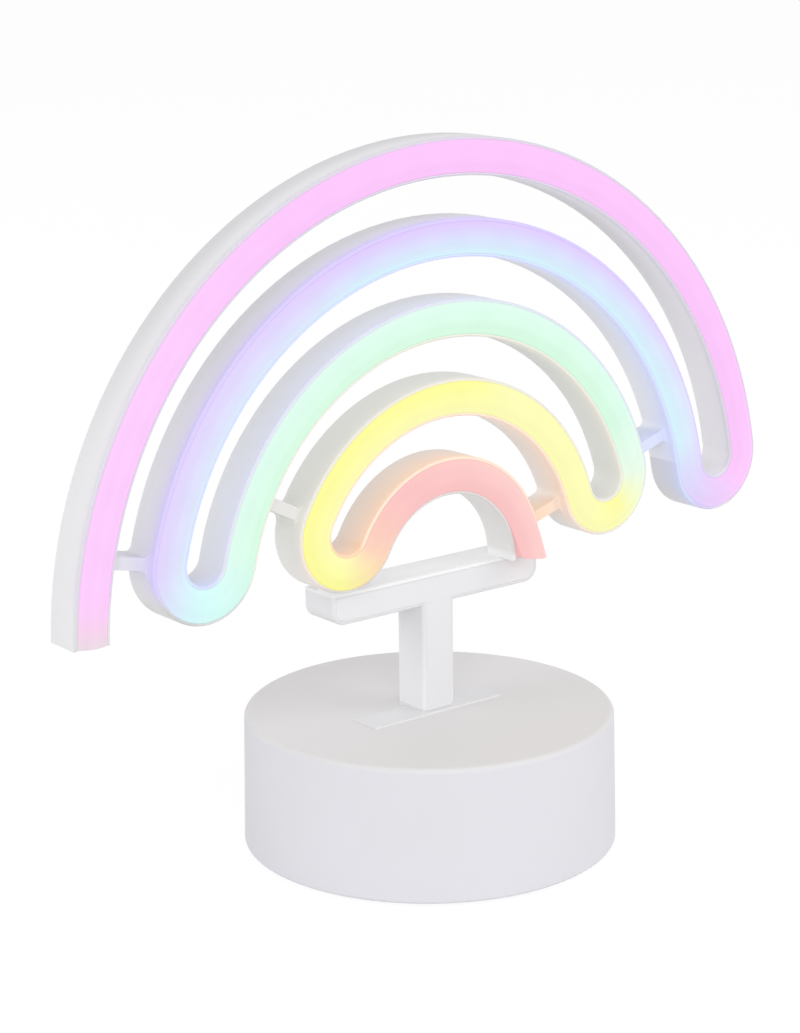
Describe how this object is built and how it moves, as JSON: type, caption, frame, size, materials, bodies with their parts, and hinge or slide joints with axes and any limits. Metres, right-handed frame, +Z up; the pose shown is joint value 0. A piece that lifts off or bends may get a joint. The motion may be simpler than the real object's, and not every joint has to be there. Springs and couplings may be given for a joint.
{
  "type": "neon rainbow table lamp",
  "caption": "Table lamp with a glowing strip wound into nested rainbow arches on a T-shaped stem, standing on a round white battery base.",
  "frame": {"origin": "on the table under the middle of the round base", "axes": "+Z up, +X to the right along the sign, -Y towards the viewer of the glowing side"},
  "size_m": [0.2262, 0.1, 0.1882],
  "materials": {
    "white_plastic": "satin moulded white",
    "steel": "bright plated",
    "cell_jacket": "plain printed-free jacket",
    "rubber_pad": "matte",
    "board": "coated board",
    "dark_plastic": "matte",
    "knob_plastic": "satin black",
    "milky_diffuser": "milky, glowing from within",
    "light_board": "white coated flexible board",
    "diode": "clear over phosphor",
    "black_lead": "insulated wire",
    "red_lead": "insulated wire"
  },
  "bodies": {
    "lamp": {"base_shell": "white_plastic", "base_plate": "white_plastic", "base_screws": "steel", "sign_screws": "steel", "foot_pads": "rubber_pad", "cell_1": "cell_jacket", "cell_2": "cell_jacket", "cell_3": "cell_jacket", "negative_terminal": "steel", "left_bridge": "steel", "right_bridge": "steel", "positive_terminal": "steel", "spring_1": "steel", "spring_2": "steel", "spring_3": "steel", "control_board": "board", "driver_chip": "dark_plastic", "resistors": "dark_plastic", "board_screws": "steel", "switch_body": "steel", "switch_screws": "steel", "sign_housing": "white_plastic", "stem_cover": "white_plastic", "neon_diffuser": "milky_diffuser", "led_strip": "light_board", "led_chips": "diode", "battery_lead_negative": "black_lead", "battery_lead_positive": "red_lead", "switch_lead_left": "black_lead", "switch_lead_right": "red_lead", "sign_lead_negative": "black_lead", "sign_lead_positive": "red_lead"},
    "door": {"battery_door": "white_plastic", "door_screw": "steel"},
    "knob": {"switch_knob": "knob_plastic"}
  },
  "joints": [
    {"name": "switch_slide", "type": "slide", "parent": "lamp", "child": "knob", "axis": [1, 0, 0], "range_m": [-0.004, 0]},
    {"name": "battery_door_hinge", "type": "hinge", "parent": "lamp", "child": "door", "pos_m": [-0.02705, 0, 0.0018], "axis": [0, 1, 0], "range_deg": [0, 100]}
  ]
}
